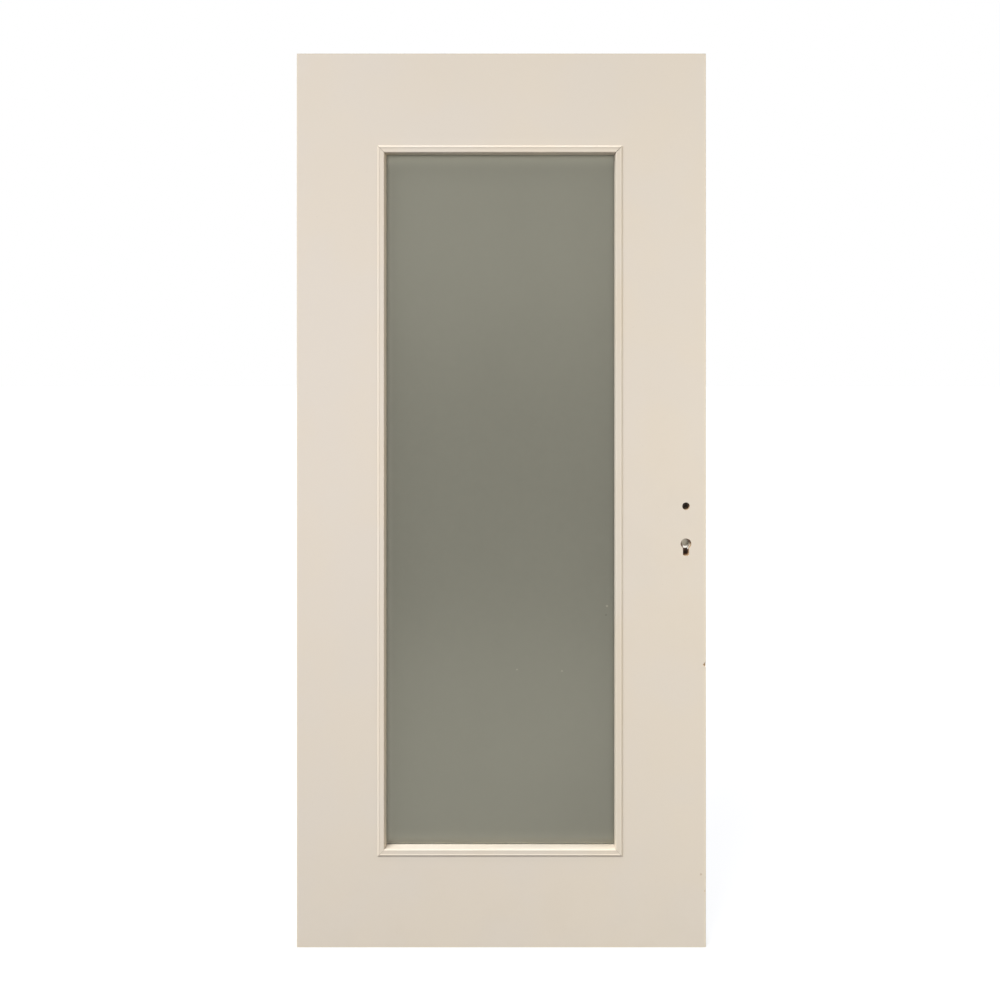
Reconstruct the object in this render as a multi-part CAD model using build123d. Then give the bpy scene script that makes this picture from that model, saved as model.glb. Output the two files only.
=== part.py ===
from build123d import *
import os

# A glazed interior door leaf in wood-plastic composite, cream film outside, satin glass inside.
# Frame: x runs from the hinge edge to the lock edge, y from the front face to the back face
# with 0 at mid thickness, and z up from the bottom edge. Lengths are millimetres.

# Leaf
LEAF_WIDTH = 925.0
LEAF_HEIGHT = 2020.0
LEAF_THICKNESS = 40.0
SKIN_THICKNESS = 4.0
BAND_THICKNESS = 1.5
BAND_ROUNDING = 1.0
CAP_THICKNESS = 2.0

# Margins of plain face outside the glazing beads
HINGE_MARGIN = 182.5
LOCK_MARGIN = 188.0
TOP_MARGIN = 208.0
BOTTOM_MARGIN = 206.0

# Hollow composite profile of the stiles and rails
PROFILE_WALL = 5.0
PROFILE_WEB = 5.0
PROFILE_CHAMBERS = 4
CHAMBER_ROUNDING = 3.0
TONGUE_LENGTH = 12.0
TONGUE_CLEARANCE = 0.5
TONGUE_CHAMFER = 1.5

# Glazing bead section: u runs inwards from the bead's outer edge, v stands off the leaf's face
BEAD_OVERLAP = 9.0
BEAD_PROUD = 3.0
BEAD_EDGE = 0.9
BEAD_SPLAY = 3.2
BEAD_ROLL_WIDTH = 5.4
BEAD_QUIRK = 0.6
BEAD_LIP = 15.8
BEAD_LIP_PROUD = 3.0
BEAD_SIGHT = 17.6
BEAD_EDGE_ROUNDING = 0.6
BEAD_CROWN_ROUNDING = 2.5
BEAD_QUIRK_ROUNDING = 0.5
BEAD_LIP_ROUNDING = 2.0

# Glass and what seats it
GLASS_THICKNESS = 4.0
GLASS_EDGE_GAP = 2.5
TAPE_THICKNESS = 1.5
TAPE_SETBACK = 0.6
SETTING_BLOCK_LENGTH = 60.0
SETTING_BLOCK_INSET = 90.0

# Mortise lock: follower above, profile cylinder below
SPINDLE_HEIGHT = 997.0
LOCK_BACKSET = 45.0
LOCK_CENTRES = 85.0
SPINDLE_HOLE_RADIUS = 8.5
SPINDLE_SQUARE = 8.0
CYLINDER_RADIUS = 8.5
CYLINDER_STEM_WIDTH = 10.0
CYLINDER_HEIGHT = 33.0
CYLINDER_CUT_CLEARANCE = 0.2
KEYHOLE_RADIUS = 12.0
KEYHOLE_STEM_WIDTH = 14.0
KEYHOLE_DROP = 2.5

LOCK_BLOCK_HEIGHT = 320.0
CASE_HEIGHT = 165.0
CASE_DEPTH = 72.0
CASE_THICKNESS = 16.0
CASE_WALL = 1.2
CASE_ABOVE_SPINDLE = 45.0
POCKET_CLEARANCE = 0.5
FOREND_HEIGHT = 235.0
FOREND_WIDTH = 20.0
FOREND_THICKNESS = 3.0
FOREND_SCREW_MARGIN = 9.0
SCREW_HEAD_RADIUS = 4.0
SCREW_SHANK_RADIUS = 2.0
SCREW_HEAD_HEIGHT = 2.2
SCREW_LENGTH = 30.0
SCREW_SLOT_WIDTH = 0.9
SCREW_SLOT_DEPTH = 0.8
CYLINDER_SCREW_RADIUS = 2.8
CYLINDER_SCREW_DROP = 12.0

FOLLOWER_HUB_RADIUS = 12.0
FOLLOWER_COLLAR_RADIUS = 10.0
FOLLOWER_WEB = 2.0
LATCH_HEIGHT = 30.0
LATCH_RISE = 9.0
LATCH_LENGTH = 24.0
LATCH_TAIL_HEIGHT = 8.0
LATCH_TAIL_THICKNESS = 6.0
DEAD_BOLT_HEIGHT = 35.0
DEAD_BOLT_RISE = 21.0
DEAD_BOLT_LENGTH = 28.0
DEAD_BOLT_TAIL_HEIGHT = 14.0
DEAD_BOLT_TAIL_LENGTH = 42.0
DEAD_BOLT_TAIL_THICKNESS = 4.0
BOLT_THICKNESS = 12.0

# Knocks on the front arris of the lock edge: height above the bottom, length and bite
EDGE_CHIPS = [(639.5, 10.0, 7.0), (127.0, 5.0, 4.5)]
CHIP_TILT = 35.0

# Worked out from the values above
HALF = LEAF_THICKNESS / 2
CORE_HALF = HALF - SKIN_THICKNESS
CORE_X0 = BAND_THICKNESS
CORE_X1 = LEAF_WIDTH - BAND_THICKNESS
CORE_Z0 = CAP_THICKNESS
CORE_Z1 = LEAF_HEIGHT - CAP_THICKNESS
BEAD_PLACES = ["bottom", "lock_side", "top", "hinge_side"]
BEAD_X0 = HINGE_MARGIN
BEAD_X1 = LEAF_WIDTH - LOCK_MARGIN
BEAD_Z0 = BOTTOM_MARGIN
BEAD_Z1 = LEAF_HEIGHT - TOP_MARGIN
OPEN_X0 = BEAD_X0 + BEAD_OVERLAP
OPEN_X1 = BEAD_X1 - BEAD_OVERLAP
OPEN_Z0 = BEAD_Z0 + BEAD_OVERLAP
OPEN_Z1 = BEAD_Z1 - BEAD_OVERLAP
BEAD_FOOT = GLASS_THICKNESS / 2 + TAPE_THICKNESS - HALF
SPINDLE_X = LEAF_WIDTH - LOCK_BACKSET
CYLINDER_Z = SPINDLE_HEIGHT - LOCK_CENTRES
CASE_Z1 = SPINDLE_HEIGHT + CASE_ABOVE_SPINDLE
CASE_Z0 = CASE_Z1 - CASE_HEIGHT
CASE_X1 = LEAF_WIDTH - FOREND_THICKNESS
CASE_X0 = CASE_X1 - CASE_DEPTH
LOCK_Z = (CASE_Z0 + CASE_Z1) / 2
BLOCK_Z0 = LOCK_Z - LOCK_BLOCK_HEIGHT / 2
BLOCK_Z1 = LOCK_Z + LOCK_BLOCK_HEIGHT / 2
FOREND_Z0 = LOCK_Z - FOREND_HEIGHT / 2 + FOREND_WIDTH / 2
FOREND_Z1 = LOCK_Z + FOREND_HEIGHT / 2 - FOREND_WIDTH / 2
LATCH_Z = SPINDLE_HEIGHT + LATCH_RISE
DEAD_BOLT_Z = CYLINDER_Z + DEAD_BOLT_RISE
SCREW_ZS = {
    "upper": LOCK_Z + FOREND_HEIGHT / 2 - FOREND_SCREW_MARGIN,
    "lower": LOCK_Z - FOREND_HEIGHT / 2 + FOREND_SCREW_MARGIN,
}


def block(x0, x1, y0, y1, z0, z1):
    """A square-edged solid between two corners."""
    centre = ((x0 + x1) / 2, (y0 + y1) / 2, (z0 + z1) / 2)
    return Pos(*centre) * Box(x1 - x0, y1 - y0, z1 - z0)


def rod_y(x, z, radius, y0, y1):
    """A round bar through the leaf's thickness."""
    return Pos(x, (y0 + y1) / 2, z) * Rot(90, 0, 0) * Cylinder(radius, y1 - y0)


def rod_x(x0, x1, z, radius):
    """A round bar along the leaf's width, at mid thickness."""
    return Pos((x0 + x1) / 2, 0, z) * Rot(0, 90, 0) * Cylinder(radius, x1 - x0)


def cylinder_cut(radius, stem_width, drop, y0, y1):
    """A round head over a narrower stem; drop is how far it reaches below a cylinder's foot."""
    foot = CYLINDER_Z + CYLINDER_RADIUS - CYLINDER_HEIGHT - drop
    half_stem = stem_width / 2
    head = rod_y(SPINDLE_X, CYLINDER_Z, radius, y0, y1)
    stem = block(SPINDLE_X - half_stem, SPINDLE_X + half_stem, y0, y1, foot, CYLINDER_Z)
    foot_edges = stem.edges().filter_by(Axis.Y).group_by(Axis.Z)[0]
    return head + fillet(foot_edges, half_stem * 0.6)


def keyhole(y0, y1):
    """The keyhole sawn in the door, wider than the cylinder by a collar's width."""
    return cylinder_cut(KEYHOLE_RADIUS, KEYHOLE_STEM_WIDTH, KEYHOLE_DROP, y0, y1)


def cylinder_hole():
    """The hole in the lock's cover plate, a close fit on the cylinder."""
    gap = CYLINDER_CUT_CLEARANCE
    return cylinder_cut(CYLINDER_RADIUS + gap, CYLINDER_STEM_WIDTH + 2 * gap, gap, -HALF, 0)


def chamber_spans(start, end):
    """The clear width of each chamber across a profile, as pairs of positions."""
    clear = end - start - 2 * PROFILE_WALL - (PROFILE_CHAMBERS - 1) * PROFILE_WEB
    width = clear / PROFILE_CHAMBERS
    pitch = width + PROFILE_WEB
    first = start + PROFILE_WALL
    return [(first + i * pitch, first + i * pitch + width) for i in range(PROFILE_CHAMBERS)]


def upright_profile(x0, x1, z0, z1):
    """A length of stile: a hollow profile whose chambers run upwards."""
    body = block(x0, x1, -CORE_HALF, CORE_HALF, z0, z1)
    half = CORE_HALF - PROFILE_WALL
    for a, b in chamber_spans(x0, x1):
        chamber = block(a, b, -half, half, z0, z1)
        body -= fillet(chamber.edges().filter_by(Axis.Z), CHAMBER_ROUNDING)
    return body


def level_profile(x0, x1, z0, z1):
    """A length of rail: the same hollow profile with its chambers running sideways."""
    body = block(x0, x1, -CORE_HALF, CORE_HALF, z0, z1)
    half = CORE_HALF - PROFILE_WALL
    for a, b in chamber_spans(z0, z1):
        chamber = block(x0, x1, -half, half, a, b)
        body -= fillet(chamber.edges().filter_by(Axis.X), CHAMBER_ROUNDING)
    return body


def lock_block():
    """The solid length of lock stile, routed for the lock case, drilled for spindle and cylinder."""
    body = block(OPEN_X1, CORE_X1, -CORE_HALF, CORE_HALF, BLOCK_Z0, BLOCK_Z1)
    half = CASE_THICKNESS / 2 + POCKET_CLEARANCE
    pocket = block(
        CASE_X0 - POCKET_CLEARANCE, LEAF_WIDTH, -half, half, CASE_Z0 - half, CASE_Z1 + half
    )
    body -= fillet(pocket.edges().filter_by(Axis.X), half * 0.98)
    body -= forend_plate(LEAF_WIDTH - FOREND_THICKNESS, LEAF_WIDTH)
    body -= rod_y(SPINDLE_X, SPINDLE_HEIGHT, SPINDLE_HOLE_RADIUS, -HALF, HALF)
    body -= keyhole(-HALF, 0)
    for z in SCREW_ZS.values():
        body -= rod_x(CASE_X1 - SCREW_LENGTH, CASE_X1, z, SCREW_SHANK_RADIUS)
    return body


def edge_chip(z, length, bite):
    """The wedge of material knocked out of the front arris at one place."""
    wedge = Rot(0, CHIP_TILT, 45) * Box(bite, bite, length)
    return Pos(LEAF_WIDTH, -HALF, z) * wedge


def skin(side):
    """A face sheet with its glazing cut-out; only the front one, side -1, has a keyhole."""
    inner, outer = sorted((side * CORE_HALF, side * HALF))
    sheet = block(CORE_X0, CORE_X1, inner, outer, CORE_Z0, CORE_Z1)
    sheet -= block(OPEN_X0, OPEN_X1, -HALF, HALF, OPEN_Z0, OPEN_Z1)
    sheet -= rod_y(SPINDLE_X, SPINDLE_HEIGHT, SPINDLE_HOLE_RADIUS, -HALF, HALF)
    if side < 0:
        sheet -= keyhole(-HALF, HALF)
        for chip in EDGE_CHIPS:
            sheet -= edge_chip(*chip)
    return sheet


def edge_band(x0, x1, outer_x):
    """The strip that covers a long edge, its outer arrises eased."""
    strip = block(x0, x1, -HALF, HALF, 0, LEAF_HEIGHT)
    arrises = strip.edges().filter_by(Axis.Z).filter_by_position(Axis.X, outer_x, outer_x)
    return fillet(arrises, BAND_ROUNDING)


def lock_edge_band(y0, y1, z0, z1):
    """A length of the lock edge's strip, cut for the forend and knocked in two places."""
    strip = edge_band(CORE_X1, LEAF_WIDTH, LEAF_WIDTH)
    strip -= forend_plate(CORE_X1, LEAF_WIDTH)
    for chip in EDGE_CHIPS:
        strip -= edge_chip(*chip)
    return strip & block(CORE_X1, LEAF_WIDTH, y0, y1, z0, z1)


def end_cap(z0, z1, core_end, inwards):
    """The strip that closes the profile's open ends, with a tongue in each stile chamber."""
    strip = block(CORE_X0, CORE_X1, -HALF, HALF, z0, z1)
    half = CORE_HALF - PROFILE_WALL - TONGUE_CLEARANCE
    tip = core_end + inwards * TONGUE_LENGTH
    low, high = sorted((core_end, tip))
    for span in ((CORE_X0, OPEN_X0), (OPEN_X1, CORE_X1)):
        for a, b in chamber_spans(*span):
            tongue = block(a + TONGUE_CLEARANCE, b - TONGUE_CLEARANCE, -half, half, low, high)
            strip += chamfer(tongue.edges().filter_by(Axis.Z), TONGUE_CHAMFER)
    return strip


def bead_section():
    """The bead's moulded section: splayed roll, quirk, face rising to an eased lip, sight face."""
    outline = Polyline(
        (0, 0),
        (0, BEAD_EDGE),
        (BEAD_SPLAY, BEAD_PROUD),
        (BEAD_ROLL_WIDTH, BEAD_PROUD),
        (BEAD_ROLL_WIDTH + BEAD_QUIRK, BEAD_PROUD - BEAD_QUIRK),
        (BEAD_LIP, BEAD_LIP_PROUD),
        (BEAD_SIGHT, BEAD_FOOT),
        (BEAD_OVERLAP, BEAD_FOOT),
        (BEAD_OVERLAP, 0),
        close=True,
    )
    section = make_face(outline)
    for u, v, radius in (
        (0, BEAD_EDGE, BEAD_EDGE_ROUNDING),
        (BEAD_SPLAY, BEAD_PROUD, BEAD_CROWN_ROUNDING),
        (BEAD_ROLL_WIDTH, BEAD_PROUD, BEAD_QUIRK_ROUNDING),
        (BEAD_LIP, BEAD_LIP_PROUD, BEAD_LIP_ROUNDING),
    ):
        corner = section.vertices().sort_by_distance((u, v, 0))[0]
        section = fillet(corner, radius)
    return section


def glazing_bead(side, place):
    """One bead cut to a mitre at both ends; side is -1 in front, place is its side of the glass."""
    inset = BEAD_SIGHT + 1
    outer = [(BEAD_X0, BEAD_Z0), (BEAD_X1, BEAD_Z0), (BEAD_X1, BEAD_Z1), (BEAD_X0, BEAD_Z1)]
    inner = [
        (BEAD_X0 + inset, BEAD_Z0 + inset),
        (BEAD_X1 - inset, BEAD_Z0 + inset),
        (BEAD_X1 - inset, BEAD_Z1 - inset),
        (BEAD_X0 + inset, BEAD_Z1 - inset),
    ]
    first = BEAD_PLACES.index(place)
    second = (first + 1) % 4
    start, end = outer[first], outer[second]
    run = Vector(end[0] - start[0], 0, end[1] - start[1])
    inwards = Vector(-run.Z, 0, run.X).normalized()
    stand_off = Vector(0, side, 0)
    middle = ((start[0] + end[0]) / 2, side * HALF, (start[1] + end[1]) / 2)
    across = Plane(origin=middle, x_dir=inwards, z_dir=inwards.cross(stand_off))
    bar = extrude(across * bead_section(), run.length / 2, both=True)
    mitre = Plane.XZ * make_face(Polyline(start, end, inner[second], inner[first], close=True))
    return bar & extrude(mitre, LEAF_THICKNESS, both=True)


def glass_pane():
    """The pane, standing clear of the cut-out all round."""
    half = GLASS_THICKNESS / 2
    gap = GLASS_EDGE_GAP
    return block(OPEN_X0 + gap, OPEN_X1 - gap, -half, half, OPEN_Z0 + gap, OPEN_Z1 - gap)


def glazing_tape(side):
    """The soft tape ring that a face's beads press on the glass; side is -1 in front."""
    inner, outer = sorted((side * GLASS_THICKNESS / 2, side * (HALF + BEAD_FOOT)))
    a = GLASS_EDGE_GAP
    b = BEAD_SIGHT - BEAD_OVERLAP - TAPE_SETBACK
    ring = block(OPEN_X0 + a, OPEN_X1 - a, inner, outer, OPEN_Z0 + a, OPEN_Z1 - a)
    return ring - block(OPEN_X0 + b, OPEN_X1 - b, inner, outer, OPEN_Z0 + b, OPEN_Z1 - b)


def setting_block(x):
    """A hard block that carries the glass off the bottom rail."""
    half_length = SETTING_BLOCK_LENGTH / 2
    half = GLASS_THICKNESS / 2
    return block(x - half_length, x + half_length, -half, half, OPEN_Z0, OPEN_Z0 + GLASS_EDGE_GAP)


def lock_case():
    """The pressed case: a back plate with a rim round three sides, open towards the forend."""
    half = CASE_THICKNESS / 2
    y0 = CASE_WALL - half
    case = block(CASE_X0, CASE_X1, y0, half, CASE_Z0, CASE_Z1)
    case -= block(
        CASE_X0 + CASE_WALL,
        CASE_X1,
        y0,
        half - CASE_WALL,
        CASE_Z0 + CASE_WALL,
        CASE_Z1 - CASE_WALL,
    )
    return case - rod_y(SPINDLE_X, SPINDLE_HEIGHT, FOLLOWER_COLLAR_RADIUS, -HALF, HALF)


def lock_cover():
    """The flat plate that closes the case on the front side."""
    half = CASE_THICKNESS / 2
    cover = block(CASE_X0, CASE_X1, -half, CASE_WALL - half, CASE_Z0, CASE_Z1)
    cover -= rod_y(SPINDLE_X, SPINDLE_HEIGHT, FOLLOWER_COLLAR_RADIUS, -HALF, HALF)
    return cover - cylinder_hole()


def forend_plate(x0, x1):
    """The forend's outline as a plain plate with rounded ends."""
    plate = block(
        x0,
        x1,
        -FOREND_WIDTH / 2,
        FOREND_WIDTH / 2,
        LOCK_Z - FOREND_HEIGHT / 2,
        LOCK_Z + FOREND_HEIGHT / 2,
    )
    return fillet(plate.edges().filter_by(Axis.X), FOREND_WIDTH / 2 * 0.98)


def screw_head(z):
    """The countersunk seat and head of a forend screw, flush with the forend."""
    height = SCREW_HEAD_HEIGHT
    cone = Cone(SCREW_SHANK_RADIUS, SCREW_HEAD_RADIUS, height)
    return Pos(LEAF_WIDTH - height / 2, 0, z) * Rot(0, 90, 0) * cone


def lock_forend():
    """The forend with its bolt slots, screw seats and the cylinder's fixing hole."""
    x0 = CASE_X1
    plate = forend_plate(x0, LEAF_WIDTH)
    half = BOLT_THICKNESS / 2
    for z, height in ((LATCH_Z, LATCH_HEIGHT), (DEAD_BOLT_Z, DEAD_BOLT_HEIGHT)):
        plate -= block(x0, LEAF_WIDTH, -half, half, z - height / 2, z + height / 2)
    for z in SCREW_ZS.values():
        plate -= rod_x(x0, LEAF_WIDTH, z, SCREW_SHANK_RADIUS)
        plate -= screw_head(z)
    fixing_z = CYLINDER_Z - CYLINDER_SCREW_DROP
    return plate - rod_x(x0, LEAF_WIDTH, fixing_z, CYLINDER_SCREW_RADIUS)


def forend_screw(z):
    """A slotted countersunk screw into the lock block."""
    neck = LEAF_WIDTH - SCREW_HEAD_HEIGHT
    screw = screw_head(z) + rod_x(CASE_X1 - SCREW_LENGTH, neck, z, SCREW_SHANK_RADIUS)
    slot = Pos(LEAF_WIDTH, 0, z) * Box(
        2 * SCREW_SLOT_DEPTH, 2 * SCREW_HEAD_RADIUS, SCREW_SLOT_WIDTH
    )
    return screw - slot


def spindle_follower():
    """The follower: a hub with a collar in each plate, and a square socket on both sides of a web."""
    half = CASE_THICKNESS / 2
    inner = half - CASE_WALL
    hub = rod_y(SPINDLE_X, SPINDLE_HEIGHT, FOLLOWER_HUB_RADIUS, -inner, inner)
    hub += rod_y(SPINDLE_X, SPINDLE_HEIGHT, FOLLOWER_COLLAR_RADIUS, -half, half)
    square = SPINDLE_SQUARE / 2
    x0, x1 = SPINDLE_X - square, SPINDLE_X + square
    z0, z1 = SPINDLE_HEIGHT - square, SPINDLE_HEIGHT + square
    hub -= block(x0, x1, -half, -FOLLOWER_WEB / 2, z0, z1)
    return hub - block(x0, x1, FOLLOWER_WEB / 2, half, z0, z1)


def latch_bolt():
    """The latch, drawn back flush with the forend, with a tail that reaches the follower."""
    half = BOLT_THICKNESS / 2
    x0 = LEAF_WIDTH - LATCH_LENGTH
    low = LATCH_Z - LATCH_HEIGHT / 2
    head = block(x0, LEAF_WIDTH, -half, half, low, low + LATCH_HEIGHT)
    tail_half = LATCH_TAIL_THICKNESS / 2
    tail_low = SPINDLE_HEIGHT - LATCH_TAIL_HEIGHT / 2
    tail = block(SPINDLE_X, x0, -tail_half, tail_half, tail_low, tail_low + LATCH_TAIL_HEIGHT)
    hub = rod_y(SPINDLE_X, SPINDLE_HEIGHT, FOLLOWER_HUB_RADIUS, -half, half)
    return head + (tail - hub)


def dead_bolt():
    """The dead bolt, drawn back flush with the forend, with the tail plate that the cam throws."""
    half = BOLT_THICKNESS / 2
    x0 = LEAF_WIDTH - DEAD_BOLT_LENGTH
    low = DEAD_BOLT_Z - DEAD_BOLT_HEIGHT / 2
    high = low + DEAD_BOLT_HEIGHT
    head = block(x0, LEAF_WIDTH, -half, half, low, high)
    tail_half = DEAD_BOLT_TAIL_THICKNESS / 2
    tail_x0 = x0 - DEAD_BOLT_TAIL_LENGTH
    return head + block(tail_x0, x0, -tail_half, tail_half, high - DEAD_BOLT_TAIL_HEIGHT, high)


def build():
    """Every piece of the leaf by name."""
    pieces = {
        "front_skin": skin(-1),
        "back_skin": skin(1),
        "hinge_stile": upright_profile(CORE_X0, OPEN_X0, CORE_Z0, CORE_Z1),
        "lock_stile_upper": upright_profile(OPEN_X1, CORE_X1, BLOCK_Z1, CORE_Z1),
        "lock_stile_lower": upright_profile(OPEN_X1, CORE_X1, CORE_Z0, BLOCK_Z0),
        "lock_block": lock_block(),
        "top_rail": level_profile(OPEN_X0, OPEN_X1, OPEN_Z1, CORE_Z1),
        "bottom_rail": level_profile(OPEN_X0, OPEN_X1, CORE_Z0, OPEN_Z0),
        "hinge_edge_band": edge_band(0, CORE_X0, 0),
        "lock_edge_band_upper": lock_edge_band(-HALF, HALF, FOREND_Z1, LEAF_HEIGHT),
        "lock_edge_band_lower": lock_edge_band(-HALF, HALF, 0, FOREND_Z0),
        "lock_edge_band_front": lock_edge_band(-HALF, -FOREND_WIDTH / 2, FOREND_Z0, FOREND_Z1),
        "lock_edge_band_back": lock_edge_band(FOREND_WIDTH / 2, HALF, FOREND_Z0, FOREND_Z1),
        "top_cap": end_cap(CORE_Z1, LEAF_HEIGHT, CORE_Z1, -1),
        "bottom_cap": end_cap(0, CORE_Z0, CORE_Z0, 1),
        "glass_pane": glass_pane(),
        "front_glazing_tape": glazing_tape(-1),
        "back_glazing_tape": glazing_tape(1),
        "setting_block_hinge_side": setting_block(OPEN_X0 + SETTING_BLOCK_INSET),
        "setting_block_lock_side": setting_block(OPEN_X1 - SETTING_BLOCK_INSET),
        "lock_case": lock_case(),
        "lock_cover": lock_cover(),
        "lock_forend": lock_forend(),
        "spindle_follower": spindle_follower(),
        "latch_bolt": latch_bolt(),
        "dead_bolt": dead_bolt(),
    }
    for face, side in (("front", -1), ("back", 1)):
        for place in BEAD_PLACES:
            pieces[f"{face}_bead_{place}"] = glazing_bead(side, place)
    for place, z in SCREW_ZS.items():
        pieces[f"forend_screw_{place}"] = forend_screw(z)
    return pieces


os.makedirs("parts", exist_ok=True)
for name, piece in build().items():
    export_step(piece, f"parts/{name}.step")
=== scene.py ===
# %% [markdown]
# # A glazed door leaf in wood-plastic composite
# The real leaf is a hollow composite frame under two cream film sheets, with a tall satin pane
# held by mitred beads and a mortise lock let into one edge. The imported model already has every
# piece at its true place and size, in metres: x across the leaf from the hinge edge, y from the
# front face to the back, z up. This scene gives the pieces their finish, and remodels the ones
# whose edges and surfaces the eye rests on.

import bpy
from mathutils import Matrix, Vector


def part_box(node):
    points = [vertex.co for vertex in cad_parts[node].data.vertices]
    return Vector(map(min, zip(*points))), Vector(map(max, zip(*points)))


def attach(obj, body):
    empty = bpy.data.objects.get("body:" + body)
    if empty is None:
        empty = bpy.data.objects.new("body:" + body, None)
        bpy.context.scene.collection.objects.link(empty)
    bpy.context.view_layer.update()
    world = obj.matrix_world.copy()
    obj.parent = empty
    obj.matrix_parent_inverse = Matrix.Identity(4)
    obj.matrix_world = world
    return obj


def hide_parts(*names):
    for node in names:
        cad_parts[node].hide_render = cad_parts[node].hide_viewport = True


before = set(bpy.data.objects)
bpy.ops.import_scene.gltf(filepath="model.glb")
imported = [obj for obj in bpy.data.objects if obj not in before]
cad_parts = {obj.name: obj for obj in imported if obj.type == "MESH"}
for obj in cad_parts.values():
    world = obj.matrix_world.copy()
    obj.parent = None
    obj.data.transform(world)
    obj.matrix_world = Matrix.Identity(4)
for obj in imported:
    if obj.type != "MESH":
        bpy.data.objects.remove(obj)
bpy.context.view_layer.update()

# %% Modules and units
import math

import bmesh
import bpy
from mathutils import Vector

MM = 0.001
print("Blender", bpy.app.version_string, "and lengths in metres")

# %% [markdown]
# ## Sizes taken from the frame
# Everything below is placed from a few boxes that the frame gives, so nothing drifts away from
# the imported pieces: the leaf's outline, the glazing beads' outer edge and the two lock holes.

# %% Measure the leaf
hinge_edge, lock_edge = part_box("hinge_edge_band")[0].x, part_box("lock_edge_band_upper")[1].x
front_face, back_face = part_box("front_skin")[0].y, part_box("back_skin")[1].y
leaf_low = Vector((hinge_edge, front_face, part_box("bottom_cap")[0].z))
leaf_high = Vector((lock_edge, back_face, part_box("top_cap")[1].z))
FACE = leaf_high.y
bead_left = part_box("front_bead_hinge_side")[0].x
bead_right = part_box("front_bead_lock_side")[1].x
bead_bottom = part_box("front_bead_bottom")[0].z
bead_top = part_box("front_bead_top")[1].z
follower_low, follower_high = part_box("spindle_follower")
spindle = (follower_low + follower_high) / 2
LOCK_CENTRES = 85 * MM
cylinder = spindle - Vector((0, 0, LOCK_CENTRES))
print("leaf", [round(c, 3) for c in leaf_low], "to", [round(c, 3) for c in leaf_high])
print("spindle", [round(c, 3) for c in spindle], "cylinder", [round(c, 3) for c in cylinder])

# %% [markdown]
# ## The camera first
# The photograph was taken square to the door, so its edges stay parallel, but the reveals round
# the glass show more below and to the left than above and to the right. That only happens when
# the lens is not opposite the middle of the picture. A level camera with a lens shift does both:
# it keeps the picture plane parallel to the door and slides the frame sideways.

# %% Camera
PHOTO = 1000
DOOR_LEFT_PX, DOOR_RIGHT_PX = 296.5, 706.1
DOOR_TOP_PX, DOOR_BOTTOM_PX = 53.6, 947.3
AXIS_PX = Vector((541, 351))
CAMERA_DISTANCE = 1950 * MM
SENSOR = 36.0

metres_per_px = (leaf_high.z - leaf_low.z) / (DOOR_BOTTOM_PX - DOOR_TOP_PX)
door_middle_px = Vector(((DOOR_LEFT_PX + DOOR_RIGHT_PX) / 2, (DOOR_TOP_PX + DOOR_BOTTOM_PX) / 2))
door_middle = (leaf_low + leaf_high) / 2


def from_photo(x_px, y_px, depth=0.0):
    """The point, that far behind the front face, which shows at a pixel of the photograph."""
    x = door_middle.x + (x_px - door_middle_px.x) * metres_per_px
    z = door_middle.z - (y_px - door_middle_px.y) * metres_per_px
    on_face = Vector((x, leaf_low.y, z))
    if depth:
        eye = from_photo(*AXIS_PX) - Vector((0, CAMERA_DISTANCE, 0))
        return eye + (on_face - eye) * (1 + depth / CAMERA_DISTANCE)
    return on_face


axis_point = from_photo(*AXIS_PX)
picture_width = PHOTO * metres_per_px
camera_data = bpy.data.cameras.new("camera")
camera_data.sensor_width = SENSOR
camera_data.lens = SENSOR * CAMERA_DISTANCE / picture_width
camera_data.shift_x = (PHOTO / 2 - AXIS_PX.x) / PHOTO
camera_data.shift_y = (AXIS_PX.y - PHOTO / 2) / PHOTO
camera = bpy.data.objects.new("camera", camera_data)
camera.location = axis_point - Vector((0, CAMERA_DISTANCE, 0))
camera.rotation_euler = (math.radians(90), 0, 0)
bpy.context.collection.objects.link(camera)
bpy.context.scene.camera = camera
print("lens", round(camera_data.lens, 2), "mm, camera at", [round(c, 3) for c in camera.location])

# %% [markdown]
# ## Small helpers for meshes
# A new piece is shaped in a bmesh and then becomes an object at the origin, with its place in
# its mesh. Smooth shading alone would tilt the light on a wide flat that meets a small curve.
# Sharp edges marked by angle and a Weighted Normal modifier, which lets the largest faces decide,
# keep flats flat and arrises soft.

# %% Mesh helpers
def finish_piece(bm, name, stands_for=(), smooth_below=40):
    """Turns a bmesh into a named piece that rides on the door."""
    mesh = bpy.data.meshes.new(name)
    bm.to_mesh(mesh)
    bm.free()
    mesh.shade_smooth()
    mesh.set_sharp_from_angle(angle=math.radians(smooth_below))
    piece = bpy.data.objects.new(name, mesh)
    bpy.context.collection.objects.link(piece)
    weighted = piece.modifiers.new("flat_flats", "WEIGHTED_NORMAL")
    weighted.weight = 100
    weighted.keep_sharp = True
    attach(piece, "root")
    if stands_for:
        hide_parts(*stands_for)
    print(name, len(mesh.vertices), "vertices")
    return piece


def round_corner(bm, vertex, reach, segments):
    """Rounds one corner of a flat outline; reach is how far along each side the curve runs."""
    bmesh.ops.bevel(
        bm, geom=[vertex], offset=reach, offset_type="OFFSET", affect="VERTICES",
        segments=segments, profile=0.5, material=-1,
    )


# %% [markdown]
# ## The glazing beads
# A bead is a length of extruded moulding wrapped in the same film as the door. Seen from the
# front it has a splayed roll that catches the light, a shallow quirk, a face that rises a little
# to an eased lip, and a sight face that slopes back to the glass. It could be swept along a curve,
# but a sweep rounds its mitres. Here its section is drawn once as a flat outline, rounded corner
# by corner and pushed to length, and the bead is then sawn at 45 degrees at both ends, as a joiner
# does it. The saw cuts get a hair of a chamfer, which makes a mitre read as a fine line.

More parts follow.
